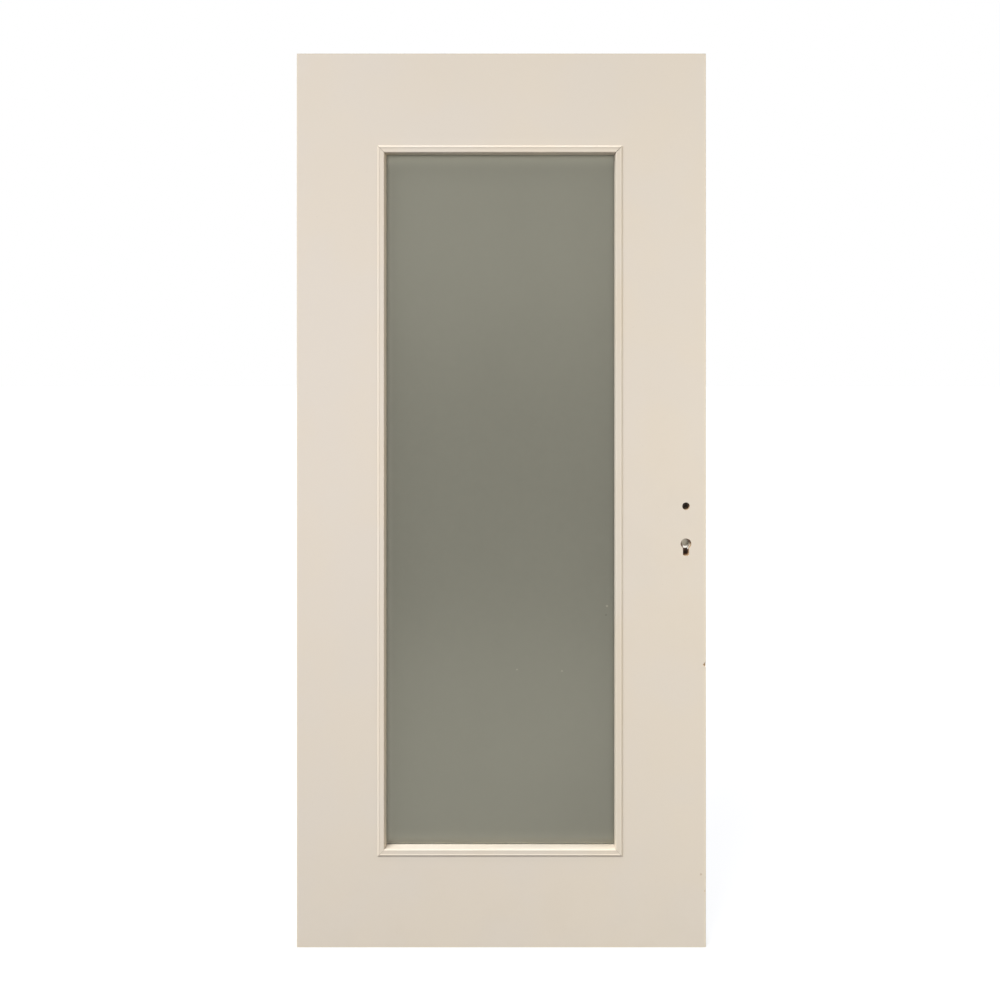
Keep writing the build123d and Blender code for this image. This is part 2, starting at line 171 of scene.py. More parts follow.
# %% Section of the bead
BEAD_POINTS = {
    "edge_foot": (0, 0),
    "edge": (0, 0.9),
    "crown": (3.2, 3.0),
    "roll_end": (5.4, 3.0),
    "quirk": (6.0, 2.4),
    "lip": (15.8, 3.0),
    "sight": (17.6, -16.5),
    "foot": (9.0, -16.5),
    "rebate": (9.0, 0),
}
BEAD_CURVES = [("edge", 0.32, 4), ("crown", 0.75, 6), ("roll_end", 0.21, 3), ("lip", 1.8, 8)]
MITRE_CHAMFER = 0.3 * MM
print("bead section", len(BEAD_POINTS), "corners,", len(BEAD_CURVES), "of them rounded")

# %% [markdown]
# Three functions follow the joiner's steps: draw the section, saw an end, and make one bead. The
# section's points are millimetres inwards from the bead's outer edge and outwards from the door's
# face. A gap shortens the bead at one end, for a mitre that doesn't quite close. The vertices of
# the chamfer are marked in an attribute, so that the film can paint shade into the joint just there.

# %% Draw, saw and make a bead
def bead_section(bm, corner, inwards, outwards):
    """Draws the bead's section as one face, standing on a point of the bead's outer edge."""
    named = {}
    for name, (u, v) in BEAD_POINTS.items():
        named[name] = bm.verts.new(corner + inwards * (u * MM) + outwards * (v * MM))
    bm.faces.new(list(named.values()))
    for name, reach, segments in BEAD_CURVES:
        round_corner(bm, named[name], reach * MM, segments)


def saw(bm, point, normal):
    """Cuts the bead on a plane, drops what lies beyond it and closes the end."""
    everything = bm.verts[:] + bm.edges[:] + bm.faces[:]
    cut = bmesh.ops.bisect_plane(
        bm, geom=everything, plane_co=point, plane_no=normal, clear_outer=True
    )
    rim = [e for e in cut["geom_cut"] if isinstance(e, bmesh.types.BMEdge)]
    bmesh.ops.contextual_create(bm, geom=rim)


def make_bead(name, start, end, inwards, outwards, start_gap=0.0, end_gap=0.0):
    """A mitred bead whose outer edge runs from start to end, sawn short by a gap at either."""
    bm = bmesh.new()
    run = end - start
    along = run.normalized()
    bead_section(bm, start, inwards, outwards)
    pushed = bmesh.ops.extrude_face_region(bm, geom=bm.faces[:])["geom"]
    bmesh.ops.translate(bm, verts=[v for v in pushed if isinstance(v, bmesh.types.BMVert)], vec=run)
    cuts = []
    for point, side, gap in ((start, -1, start_gap), (end, 1, end_gap)):
        normal = (along * side + inwards).normalized()
        cuts.append((point - normal * gap, normal))
        saw(bm, *cuts[-1])
    bmesh.ops.recalc_face_normals(bm, faces=bm.faces[:])
    ends = [f for f in bm.faces if abs(abs(f.normal.dot(along)) - math.sqrt(0.5)) < 0.01]
    rims = {e for f in ends for e in f.edges}
    bmesh.ops.bevel(
        bm, geom=list(rims), offset=MITRE_CHAMFER, offset_type="OFFSET", affect="EDGES",
        segments=1, profile=0.5, material=-1,
    )
    joint = bm.verts.layers.float.new("joint")
    for vertex in bm.verts:
        distance = min(abs((vertex.co - point).dot(normal)) for point, normal in cuts)
        vertex[joint] = 1.0 if distance < MITRE_CHAMFER * 0.5 else 0.0
    return finish_piece(bm, name + "_moulding", [name], smooth_below=50)


# %% [markdown]
# The eight beads take their places from the frame's boxes, four to a face. In the photograph the
# top mitre on the lock side stands open by a hair and the other top mitre by less, so those ends
# are sawn short. The bottom mitres are tight.

# %% Eight beads, four to a face
OPEN_MITRE, SLACK_MITRE = 0.3 * MM, 0.12 * MM

level_beads, upright_beads = [], []
for side, outwards in (("front", Vector((0, -1, 0))), ("back", Vector((0, 1, 0)))):
    y = leaf_low.y if side == "front" else leaf_high.y
    low_left, low_right, top_left, top_right = (
        Vector((x, y, z)) for z in (bead_bottom, bead_top) for x in (bead_left, bead_right)
    )
    level_beads += [
        make_bead(side + "_bead_bottom", low_left, low_right, Vector((0, 0, 1)), outwards),
        make_bead(side + "_bead_top", top_left, top_right, Vector((0, 0, -1)), outwards,
                  start_gap=SLACK_MITRE, end_gap=OPEN_MITRE),
    ]
    upright_beads += [
        make_bead(side + "_bead_hinge_side", low_left, top_left, Vector((1, 0, 0)), outwards,
                  end_gap=SLACK_MITRE),
        make_bead(side + "_bead_lock_side", low_right, top_right, Vector((-1, 0, 0)), outwards,
                  end_gap=OPEN_MITRE),
    ]
print(len(level_beads), "level and", len(upright_beads), "upright beads")

# %% [markdown]
# ## Helpers for materials
# Each material is a small graph of shader nodes. Short helpers keep the graphs readable: one adds
# a node with its values, one joins two sockets, and the others stand for the nodes that every
# finish uses over and over, such as arithmetic, colour mixing and noise.

# %% Node helpers
def add(tree, kind, settings=None, **values):
    """Adds a node, sets its properties, and fills the inputs that are named."""
    made = tree.nodes.new("ShaderNode" + kind)
    for key, value in (settings or {}).items():
        setattr(made, key, value)
    for key, value in values.items():
        made.inputs[key.replace("_", " ")].default_value = value
    return made


def join(tree, source, target):
    """Links an output socket to an input socket."""
    tree.links.new(source, target)


def maths(tree, operation, first, second=0.5):
    """A Math node fed by two numbers or sockets; returns its output."""
    made = tree.nodes.new("ShaderNodeMath")
    made.operation = operation
    for socket, value in zip(made.inputs, (first, second)):
        if isinstance(value, (int, float)):
            socket.default_value = value
        else:
            join(tree, value, socket)
    return made.outputs[0]


def vector_maths(tree, operation, first, second=(0, 0, 0)):
    """A Vector Math node fed by two vectors or sockets; returns its outputs."""
    made = add(tree, "VectorMath", {"operation": operation})
    for socket, value in zip(made.inputs, (first, second)):
        if isinstance(value, bpy.types.NodeSocket):
            join(tree, value, socket)
        else:
            socket.default_value = tuple(value)
    return made.outputs


# %% [markdown]
# Most patterns are blends: a colour, a second colour, and a mask that says how much of it shows.
# Masks come from noise or from where a point lies on the door, eased from 0 to 1 between two
# values, so that no edge in a finish is hard.

# %% Blends, masks and noise
def blend(tree, amount, first, second):
    """A colour Mix node; amount, first and second are sockets or values. Returns its output."""
    made = tree.nodes.new("ShaderNodeMix")
    made.data_type = "RGBA"
    for socket, value in ((made.inputs[0], amount), (made.inputs[6], first), (made.inputs[7], second)):
        if isinstance(value, bpy.types.NodeSocket):
            join(tree, value, socket)
        else:
            socket.default_value = value if isinstance(value, (int, float)) else (*value, 1)
    return made.outputs[2]


def between(tree, value, low, high):
    """Smooth 0 to 1 as value goes from low to high."""
    made = add(tree, "MapRange", {"interpolation_type": "SMOOTHSTEP"}, From_Min=low, From_Max=high)
    join(tree, value, made.inputs["Value"])
    return made.outputs["Result"]


def split_place(tree, place):
    """The X, Y and Z of a place, each as an output."""
    made = add(tree, "SeparateXYZ")
    join(tree, place, made.inputs[0])
    return made.outputs["X"], made.outputs["Y"], made.outputs["Z"]


def from_centre(tree, value, centre, half):
    """How far a coordinate is from a centre: 0 there, 1 at half the width or height."""
    offset = maths(tree, "ABSOLUTE", maths(tree, "SUBTRACT", value, centre), 0.0)
    return maths(tree, "DIVIDE", offset, half)


def noise(tree, vector, scale, detail=3.0, roughness=0.5):
    """A noise pattern's value at a vector."""
    made = add(tree, "TexNoise", Scale=scale, Detail=detail, Roughness=roughness)
    join(tree, vector, made.inputs["Vector"])
    return made.outputs["Fac"]


# %% [markdown]
# A node group is made once, with named sockets, and then placed in each material that wants its
# effect. Colours are written as a screen shows them and turned into linear light.

# %% Group and colour helpers
def new_group(name, inputs, outputs):
    """Starts a node group with named sockets; returns the group, its inputs and its outputs."""
    group = bpy.data.node_groups.new(name, "ShaderNodeTree")
    for label, (kind, default) in inputs.items():
        socket = group.interface.new_socket(label, in_out="INPUT", socket_type="NodeSocket" + kind)
        if default is not None:
            socket.default_value = default
    for label, kind in outputs.items():
        group.interface.new_socket(label, in_out="OUTPUT", socket_type="NodeSocket" + kind)
    return group, group.nodes.new("NodeGroupInput").outputs, group.nodes.new("NodeGroupOutput").inputs


def use_group(tree, group, **values):
    """Places a node group in a material and fills or links its inputs by name."""
    made = tree.nodes.new("ShaderNodeGroup")
    made.node_tree = group
    for key, value in values.items():
        socket = made.inputs[key.replace("_", " ")]
        if isinstance(value, bpy.types.NodeSocket):
            join(tree, value, socket)
        else:
            socket.default_value = value
    return made.outputs


def srgb(red, green, blue):
    """A colour as a screen shows it, 0 to 255, turned into the light values a shader wants."""
    parts = [c / 255 for c in (red, green, blue)]
    return tuple(c / 12.92 if c <= 0.04045 else ((c + 0.055) / 1.055) ** 2.4 for c in parts)


print("a cream of 221, 210, 198 is", [round(c, 3) for c in srgb(221, 210, 198)], "in linear light")

# %% [markdown]
# ## Effect: cream film
# The film is printed a plain cream and pressed on while warm. It is never one flat colour: it
# drifts a little warmer and pinker over a hand's breadth, and its satin comes from a grain far
# finer than a millimetre over a very shallow orange peel. The group gives colour, roughness and
# height, and each film surface chooses its own colour and strengths.

# %% Film group
film_group, group_in, group_out = new_group(
    "cream_film_surface",
    {
        "Vector": ("Vector", None),
        "Colour": ("Color", (0.7, 0.62, 0.52, 1)),
        "Warm Colour": ("Color", (0.7, 0.6, 0.45, 1)),
        "Drift": ("Float", 0.05),
        "Gloss Roughness": ("Float", 0.4),
    },
    {"Colour": "Color", "Roughness": "Float", "Height": "Float"},
)
tree = film_group
cloud = noise(tree, group_in["Vector"], 2.3, 3)
patch = noise(tree, group_in["Vector"], 5.1, 2)
warmed = blend(tree, between(tree, patch, 0.35, 0.65), group_in["Colour"], group_in["Warm Colour"])
shade = maths(tree, "MULTIPLY", maths(tree, "SUBTRACT", cloud, 0.5), group_in["Drift"])
lift = maths(tree, "ADD", shade, 1.0)
toned = add(tree, "VectorMath", {"operation": "SCALE"})
join(tree, warmed, toned.inputs[0])
join(tree, lift, toned.inputs["Scale"])
grain = noise(tree, group_in["Vector"], 900, 2, 0.6)
peel = noise(tree, group_in["Vector"], 150, 2)
speck = between(tree, noise(tree, group_in["Vector"], 420, 1), 0.78, 0.84)
speck_colour = srgb(150, 138, 120)
speckled = blend(tree, maths(tree, "MULTIPLY", speck, 0.35), toned.outputs[0], speck_colour)
rough = maths(tree, "ADD", group_in["Gloss Roughness"], maths(tree, "MULTIPLY", grain, 0.12))
height = maths(tree, "ADD", maths(tree, "MULTIPLY", grain, 0.25), maths(tree, "MULTIPLY", peel, 0.75))
join(tree, speckled, group_out["Colour"])
join(tree, rough, group_out["Roughness"])
join(tree, height, group_out["Height"])
print("group", film_group.name, len(tree.nodes), "nodes")

# %% [markdown]
# ## Effect: raw composite
# Where the film ends, in the drilled holes and the knocks, the bare composite shows: wood flour
# in plastic, tan to brown, with pale fibres and tiny pores left by the foaming.

# %% Raw composite group
raw_group, group_in, group_out = new_group(
    "raw_composite",
    {
        "Vector": ("Vector", None),
        "Colour": ("Color", (0.35, 0.22, 0.12, 1)),
        "Fibre": ("Color", (0.6, 0.45, 0.3, 1)),
    },
    {"Colour": "Color", "Height": "Float"},
)
FLOUR, PORE = srgb(150, 114, 80), srgb(96, 70, 50)
tree = raw_group
stretch = add(tree, "Mapping", Scale=(1, 1, 0.2))
join(tree, group_in["Vector"], stretch.inputs["Vector"])
fibres = between(tree, noise(tree, stretch.outputs[0], 700, 3), 0.55, 0.7)
flour = noise(tree, group_in["Vector"], 260, 4)
pores = add(tree, "TexVoronoi", Scale=650.0)
join(tree, group_in["Vector"], pores.inputs["Vector"])
hollow = between(tree, pores.outputs["Distance"], 0.05, 0.3)
fibred = blend(tree, fibres, group_in["Colour"], group_in["Fibre"])
mottled = blend(tree, maths(tree, "MULTIPLY", between(tree, flour, 0.3, 0.7), 0.5), fibred, FLOUR)
rise = maths(tree, "ADD", maths(tree, "MULTIPLY", hollow, 0.6), maths(tree, "MULTIPLY", flour, 0.4))
join(tree, blend(tree, hollow, PORE, mottled), group_out["Colour"])
join(tree, rise, group_out["Height"])
print("group", raw_group.name, len(tree.nodes), "nodes")

# %% [markdown]
# ## Effect: a mark at a place
# A few marks are at known places: a brown spot by the lock edge, a nick in the top bead, specks
# on the glass. Each is a soft round mask about a centre, with a ragged outline.

# %% Mark group
mark_group, group_in, group_out = new_group(
    "mark_at_place",
    {"Vector": ("Vector", None), "Centre": ("Vector", None), "Radius": ("Float", 0.003)},
    {"Mask": "Float"},
)
tree = mark_group
reach = vector_maths(tree, "DISTANCE", group_in["Vector"], group_in["Centre"])["Value"]
ragged = maths(tree, "ADD", maths(tree, "DIVIDE", reach, group_in["Radius"]),
               maths(tree, "SUBTRACT", noise(tree, group_in["Vector"], 500, 2), 0.5))
join(tree, maths(tree, "SUBTRACT", 1.0, between(tree, ragged, 0.5, 1.0)), group_out["Mask"])
print("group", mark_group.name, len(tree.nodes), "nodes")

# %% [markdown]
# ## Effect: handling
# A door is touched in the same places: round the lock, along the lock edge, and low down where
# feet and brooms pass. The group gives one mask for that, broken up by noise, which finishes use
# to change roughness and, very slightly, colour.

# %% Handling group
handling_group, group_in, group_out = new_group(
    "handling", {"Vector": ("Vector", None), "Hand": ("Vector", None)}, {"Mask": "Float"}
)
tree = handling_group
from_hand = vector_maths(tree, "DISTANCE", group_in["Vector"], group_in["Hand"])["Value"]
by_hand = maths(tree, "SUBTRACT", 1.0, between(tree, from_hand, 0.05, 0.45))
height_at = split_place(tree, group_in["Vector"])[2]
by_foot = maths(tree, "SUBTRACT", 1.0, between(tree, height_at, 0.0, 0.35))
smears = between(tree, noise(tree, group_in["Vector"], 14, 4, 0.6), 0.4, 0.7)
touched = maths(tree, "MAXIMUM", by_hand, by_foot)
join(tree, maths(tree, "MULTIPLY", touched, smears), group_out["Mask"])
print("group", handling_group.name, len(tree.nodes), "nodes")

# %% [markdown]
# ## Effect: drawn or ground metal
# Lock parts are plated steel. Their light is broken into streaks by fine scratches that run one
# way, so the noise is stretched along the direction the metal was drawn or ground.

# %% Metal group
metal_group, group_in, group_out = new_group(
    "drawn_metal",
    {
        "Vector": ("Vector", None),
        "Grain Scale": ("Vector", (1, 1, 1)),
        "Colour": ("Color", (0.6, 0.6, 0.58, 1)),
        "Tarnish": ("Color", (0.35, 0.33, 0.28, 1)),
        "Base Roughness": ("Float", 0.3),
    },
    {"Colour": "Color", "Roughness": "Float", "Height": "Float"},
)
tree = metal_group
drawn_out = vector_maths(tree, "MULTIPLY", group_in["Vector"], group_in["Grain Scale"])["Vector"]
streaks = noise(tree, drawn_out, 1.0, 3, 0.6)
stain = between(tree, noise(tree, group_in["Vector"], 60, 4, 0.6), 0.5, 0.75)
tarnished = blend(tree, maths(tree, "MULTIPLY", stain, 0.5), group_in["Colour"], group_in["Tarnish"])
streaked = maths(tree, "ADD", group_in["Base Roughness"], maths(tree, "MULTIPLY", streaks, 0.2))
join(tree, tarnished, group_out["Colour"])
join(tree, streaked, group_out["Roughness"])
join(tree, streaks, group_out["Height"])
print("group", metal_group.name, len(tree.nodes), "nodes")

# %% [markdown]
# ## Starting a finish
# Every finish begins with the same lines: a Principled shader, Object coordinates to place its
# patterns, a Bump node for its fine relief, and a list of the pieces that wear it.

# %% Material starter
def new_material(name, **values):
    """A material; returns it, its tree, its Principled shader and Object coordinates."""
    material = bpy.data.materials.new(name)
    material.use_nodes = True
    tree = material.node_tree
    shader = tree.nodes["Principled BSDF"]
    for key, value in values.items():
        shader.inputs[key.replace("_", " ")].default_value = value
    place = tree.nodes.new("ShaderNodeTexCoord").outputs["Object"]
    return material, tree, shader, place


def bump(tree, shader, height, depth, strength=1.0):
    """Feeds a height, in metres at full scale, to a shader's normal."""
    made = add(tree, "Bump", Distance=depth, Strength=strength)
    join(tree, height, made.inputs["Height"])
    join(tree, made.outputs["Normal"], shader.inputs["Normal"])


def dress(material, *nodes):
    """Gives a material to CAD nodes by name, or to new pieces."""
    for one in nodes:
        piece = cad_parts[one] if isinstance(one, str) else one
        piece.data.materials.clear()
        piece.data.materials.append(material)
    print(material.name, "on", len(nodes), "pieces")


# %% [markdown]
# ## Finish: film on the door's faces
# The film lies only on the outside of a face sheet. On the walls of the holes and in the knocks
# the cut goes through it, so the material asks how far a point is from the outer surface and
# shows raw composite below it. Along the long edges the film is painted a little paler, as a
# painted highlight where the rounded edges catch the light. A brown spot sits near the lock edge
# low down, and the film is faintly soiled and polished where hands and feet reach it.

# %% Face film
FILM = srgb(221, 210, 198)
FILM_WARM = srgb(222, 210, 196)
RAW = srgb(208, 178, 142)
RAW_FIBRE = srgb(232, 212, 182)
BROWN_SPOT = from_photo(701.0, 874.3)
TURNED_EDGE = 4.5 * MM
EDGE_HIGHLIGHT, SPOT, SOIL = srgb(228, 215, 197), srgb(168, 136, 104), srgb(176, 160, 136)
hand_place = tuple((spindle + cylinder) / 2)

film, tree, shader, place = new_material("cream_film", Specular_IOR_Level=0.4)
surface = use_group(tree, film_group, Vector=place, Colour=(*FILM, 1), Warm_Colour=(*FILM_WARM, 1),
                    Drift=0.03, Gloss_Roughness=0.42)
raw = use_group(tree, raw_group, Vector=place, Colour=(*RAW, 1), Fibre=(*RAW_FIBRE, 1))
touched = use_group(tree, handling_group, Vector=place, Hand=hand_place)["Mask"]
spot = use_group(tree, mark_group, Vector=place, Centre=tuple(BROWN_SPOT), Radius=3.2 * MM)["Mask"]
width_at, depth_at, height_at = split_place(tree, place)
skin_depth = maths(tree, "SUBTRACT", FACE, maths(tree, "ABSOLUTE", depth_at, 0.0))
film_there = maths(tree, "SUBTRACT", 1.0, between(tree, skin_depth, 0.15 * MM, 0.3 * MM))
# Painted highlight: in the last few millimetres by the long edges the film is lifted to a paler cream,
# where the rounded edges catch the light.
off_middle = maths(tree, "ABSOLUTE", maths(tree, "SUBTRACT", width_at, door_middle.x), 0.0)
turn_starts = (leaf_high.x - leaf_low.x) / 2 - TURNED_EDGE
turned = between(tree, off_middle, turn_starts, turn_starts + 1.0 * MM)
edge_highlighted = blend(tree, maths(tree, "MULTIPLY", turned, 0.7), surface["Colour"], EDGE_HIGHLIGHT)
soiled = blend(tree, maths(tree, "MULTIPLY", touched, 0.03), edge_highlighted, SOIL)
spotted = blend(tree, maths(tree, "MULTIPLY", spot, 0.45), soiled, SPOT)
join(tree, blend(tree, film_there, raw["Colour"], spotted), shader.inputs["Base Color"])
roughness = maths(tree, "SUBTRACT", surface["Roughness"], maths(tree, "MULTIPLY", touched, 0.08))
bare_roughness = maths(tree, "SUBTRACT", 0.8, film_there)
join(tree, maths(tree, "MAXIMUM", roughness, bare_roughness), shader.inputs["Roughness"])
bump(tree, shader, surface["Height"], 0.05 * MM, 0.6)
dress(film, "front_skin", "back_skin")

# %% [markdown]
# ## Finish: edge strips
# The long edges and the ends are closed with a strip of the same cream, coloured right through
# and a shade glossier than the film. The upper surface of the top end is painted darker than the
# rest, as painted shade against the strong light that falls on it from above.

# %% Edge strip
strip, tree, shader, place = new_material("edge_strip", Specular_IOR_Level=0.45)
surface = use_group(tree, film_group, Vector=place, Colour=(*srgb(221, 210, 192), 1),
                    Warm_Colour=(*srgb(222, 208, 187), 1), Drift=0.05, Gloss_Roughness=0.36)
touched = use_group(tree, handling_group, Vector=place, Hand=hand_place)["Mask"]
height_at = split_place(tree, place)[2]
# Painted shade: the top end's upper surface is darker, to hold back the light that falls on it from
# above.
painted_top_shade = between(tree, height_at, leaf_high.z - 0.5 * MM, leaf_high.z - 0.2 * MM)
top_shaded = blend(tree, painted_top_shade, surface["Colour"], srgb(190, 179, 160))
join(tree, blend(tree, maths(tree, "MULTIPLY", touched, 0.06), top_shaded, SOIL),
     shader.inputs["Base Color"])
join(tree, surface["Roughness"], shader.inputs["Roughness"])
bump(tree, shader, surface["Height"], 0.05 * MM, 0.6)
dress(strip, "hinge_edge_band", "lock_edge_band_upper", "lock_edge_band_lower",
      "lock_edge_band_front", "lock_edge_band_back", "top_cap", "bottom_cap")

# %% [markdown]
# ## Finish: film on the beads
# The beads are wrapped in the film lengthwise, which leaves faint draw lines along them. The
# level and the upright beads need those lines in different directions, so one function makes the
# material for either. At the mitres the joint attribute that the modelling step stored darkens
# just that hairline with painted shade of the open joint.

# %% Bead film
BEAD_NICK = from_photo(597, 146)


def bead_material(name, line_scale):
    """Film for a bead whose draw lines follow the axis with the small scale."""
    material, tree, shader, place = new_material(name, Specular_IOR_Level=0.15)
    surface = use_group(tree, film_group, Vector=place, Colour=(*srgb(223, 212, 199), 1),
                        Warm_Colour=(*srgb(224, 211, 195), 1), Drift=0.05, Gloss_Roughness=0.38)
    lines = add(tree, "Mapping", Scale=line_scale)
    join(tree, place, lines.inputs["Vector"])
    drawn = noise(tree, lines.outputs[0], 900, 2)
    joint = add(tree, "Attribute", {"attribute_name": "joint"}).outputs["Fac"]
    nick = use_group(tree, mark_group, Vector=place, Centre=tuple(BEAD_NICK), Radius=3.0 * MM)["Mask"]
    # Painted shade: the joint attribute darkens the mitre's hairline as the shade of the open joint;
    # the nick is a mark on the bead.
    in_joint, in_nick = maths(tree, "MULTIPLY", joint, 0.85), maths(tree, "MULTIPLY", nick, 0.25)
    joint_shade_and_nick = maths(tree, "MAXIMUM", in_joint, in_nick)
    join(tree, blend(tree, joint_shade_and_nick, surface["Colour"], srgb(112, 98, 80)), shader.inputs["Base Color"])
    join(tree, surface["Roughness"], shader.inputs["Roughness"])
    height = maths(tree, "ADD", surface["Height"], maths(tree, "MULTIPLY", drawn, 0.6))
    nicked = maths(tree, "SUBTRACT", height, maths(tree, "MULTIPLY", nick, 4.0))
    bump(tree, shader, nicked, 0.05 * MM, 0.6)
    return material


dress(bead_material("bead_film_level", (0.02, 1, 1)), *level_beads)
dress(bead_material("bead_film_upright", (1, 1, 0.02)), *upright_beads)

# %% [markdown]
# ## Finish: raw composite for the hidden frame
# The stiles, rails and lock block show only through the drilled holes, as the bare composite. They
# use the same group as the holes' walls in the film, so a hole looks of one piece all the way in.

# %% Raw composite
core, tree, shader, place = new_material("raw_composite_core", Roughness=0.8, Specular_IOR_Level=0.25)
raw = use_group(tree, raw_group, Vector=place, Colour=(*RAW, 1), Fibre=(*RAW_FIBRE, 1))
join(tree, raw["Colour"], shader.inputs["Base Color"])
bump(tree, shader, raw["Height"], 0.3 * MM)
dress(core, "hinge_stile", "lock_stile_upper", "lock_stile_lower", "lock_block",
      "top_rail", "bottom_rail")

# %% [markdown]
# ## Finish: satin glass
# Satin glass is etched, so it scatters what is behind it into a soft grey-green cloud and
# mirrors almost nothing sharply. It could be clear glass under a white layer, but then the room
# behind shows through. Here it is one Principled shader that transmits nearly everything, so
# roughly that only light and shade come through, with a fine bump for the etched tooth. Its tone
# is darker at mid height and paler at the top and foot, and darker towards the sides, which is
# painted shade of the beads.

# %% Satin glass
GLASS_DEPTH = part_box("glass_pane")[0].y - leaf_low.y
GLASS_SPECKS = [
    (from_photo(607, 606, GLASS_DEPTH), 3.0, (196, 190, 172)),
    (from_photo(606, 615, GLASS_DEPTH), 2.5, (84, 80, 66)),
    (from_photo(517, 669.5, GLASS_DEPTH), 2.5, (190, 184, 168)),
    (from_photo(562, 671, GLASS_DEPTH), 2.5, (190, 184, 168)),
]
glass_low, glass_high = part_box("glass_pane")
glass_middle = (glass_low + glass_high) / 2

glass, tree, shader, place = new_material(
    "satin_glass", Transmission_Weight=0.9, IOR=1.5, Specular_IOR_Level=0.4
)
width_at, _, height_at = split_place(tree, place)
across = from_centre(tree, width_at, glass_middle.x, (glass_high.x - glass_low.x) / 2)
upwards = from_centre(tree, height_at, glass_middle.z, (glass_high.z - glass_low.z) / 2)
# Painted shade: the pane's tone darkens towards the sides, where the beads shade it.
side_shade = between(tree, across, 0.35, 1.0)
middle_band = maths(tree, "SUBTRACT", 1.0, between(tree, upwards, 0.15, 0.75))
clouds = noise(tree, place, 2.6, 3, 0.5)
mottle = noise(tree, place, 45, 4, 0.6)
banded = maths(tree, "MULTIPLY", middle_band, 0.54)
clouded = maths(tree, "MULTIPLY", between(tree, clouds, 0.3, 0.7), 0.12)
shaded = maths(tree, "MULTIPLY", side_shade, 0.1)
dark = maths(tree, "ADD", maths(tree, "ADD", banded, clouded), shaded)
body = blend(tree, dark, srgb(139, 137, 123), srgb(117, 115, 102))
mottled = maths(tree, "MULTIPLY", between(tree, mottle, 0.3, 0.7), 0.06)
body = blend(tree, mottled, body, srgb(158, 156, 140))

# %% [markdown]
# Close to the beads their walls and the dark gap behind the pane take light from the glass, where
# the pane should stay pale, so its own tone is lifted with painted light: over 50 mm at the head and
# the foot, in a narrow line right at the foot, and a little beside the hinge-side bead. The specks
# are flecks of grime and etching flaws at known places.

# %% The pane's edges and specks
# Painted light: the pane's tone is lifted near the head and foot, beside the hinge-side bead and in a
# line at the foot, against the shade of the beads' walls and the gap behind the pane.
head = between(tree, height_at, glass_high.z - 50 * MM, glass_high.z - 6 * MM)
foot = between(tree, height_at, glass_low.z + 50 * MM, glass_low.z + 6 * MM)
ends = maths(tree, "MAXIMUM", maths(tree, "MULTIPLY", head, head),
             maths(tree, "MULTIPLY", maths(tree, "MULTIPLY", foot, foot), 0.55))
body = blend(tree, ends, body, srgb(172, 170, 154))
painted_lift_hinge_side = between(tree, width_at, glass_low.x + 24 * MM, glass_low.x + 6 * MM)
body = blend(tree, maths(tree, "MULTIPLY", painted_lift_hinge_side, 0.25), body, srgb(198, 196, 180))
painted_lift_foot_line = between(tree, height_at, glass_low.z + 10 * MM, glass_low.z + 6.5 * MM)
body = blend(tree, maths(tree, "MULTIPLY", painted_lift_foot_line, 0.9), body, srgb(235, 232, 215))
for centre, radius, colour in GLASS_SPECKS:
    mask = use_group(tree, mark_group, Vector=place, Centre=tuple(centre), Radius=radius * MM)["Mask"]
    body = blend(tree, maths(tree, "MULTIPLY", mask, 0.7), body, srgb(*colour))
join(tree, body, shader.inputs["Base Color"])
etch = noise(tree, place, 700, 3, 0.6)
scatter = maths(tree, "ADD", 0.55, maths(tree, "MULTIPLY", mottle, 0.08))
join(tree, scatter, shader.inputs["Roughness"])
bump(tree, shader, etch, 0.06 * MM, 0.7)
dress(glass, "glass_pane")

# %% [markdown]
# ## Finish: glazing tape and setting blocks
# Soft foam tape seats the glass on both sides, and two hard blocks carry its weight. The tape
# shows as a thin line round the pane, so it gets the cells of a foam. The blocks are hidden.

# %% Tape and blocks
tape, tree, shader, place = new_material("foam_tape", Roughness=0.9, Specular_IOR_Level=0.2)
cells = noise(tree, place, 1200, 2)
join(tree, blend(tree, cells, srgb(122, 118, 104), srgb(146, 142, 128)), shader.inputs["Base Color"])
bump(tree, shader, cells, 0.1 * MM)
dress(tape, "front_glazing_tape", "back_glazing_tape")

blocks, tree, shader, place = new_material("setting_block", Specular_IOR_Level=0.4)
mould = noise(tree, place, 500, 2)
join(tree, blend(tree, mould, srgb(36, 36, 38), srgb(52, 52, 54)), shader.inputs["Base Color"])
join(tree, maths(tree, "ADD", 0.4, maths(tree, "MULTIPLY", mould, 0.2)), shader.inputs["Roughness"])
dress(blocks, "setting_block_hinge_side", "setting_block_lock_side")


# %% [markdown]
# ## Finish: lock metals
# The case is a zinc-plated pressing, the forend is ground along its length, and the bolts are
# nickel-plated castings with their grain up and down. They share the metal group and differ in
# colour, direction and roughness, so one function makes them all.

# %% Lock metals
def metal(name, colour, tarnish, grain_scale, roughness, depth, *nodes):
    """A metal for some of the lock's nodes; returns what a further mark needs."""
    material, tree, shader, place = new_material(name, Metallic=1.0)
    surface = use_group(tree, metal_group, Vector=place, Grain_Scale=grain_scale,
                        Colour=(*srgb(*colour), 1), Tarnish=(*srgb(*tarnish), 1),
                        Base_Roughness=roughness)
    join(tree, surface["Colour"], shader.inputs["Base Color"])
    join(tree, surface["Roughness"], shader.inputs["Roughness"])
    bump(tree, shader, surface["Height"], depth * MM, 0.5)
    dress(material, *nodes)
    return tree, shader, place, surface["Colour"], surface["Roughness"]


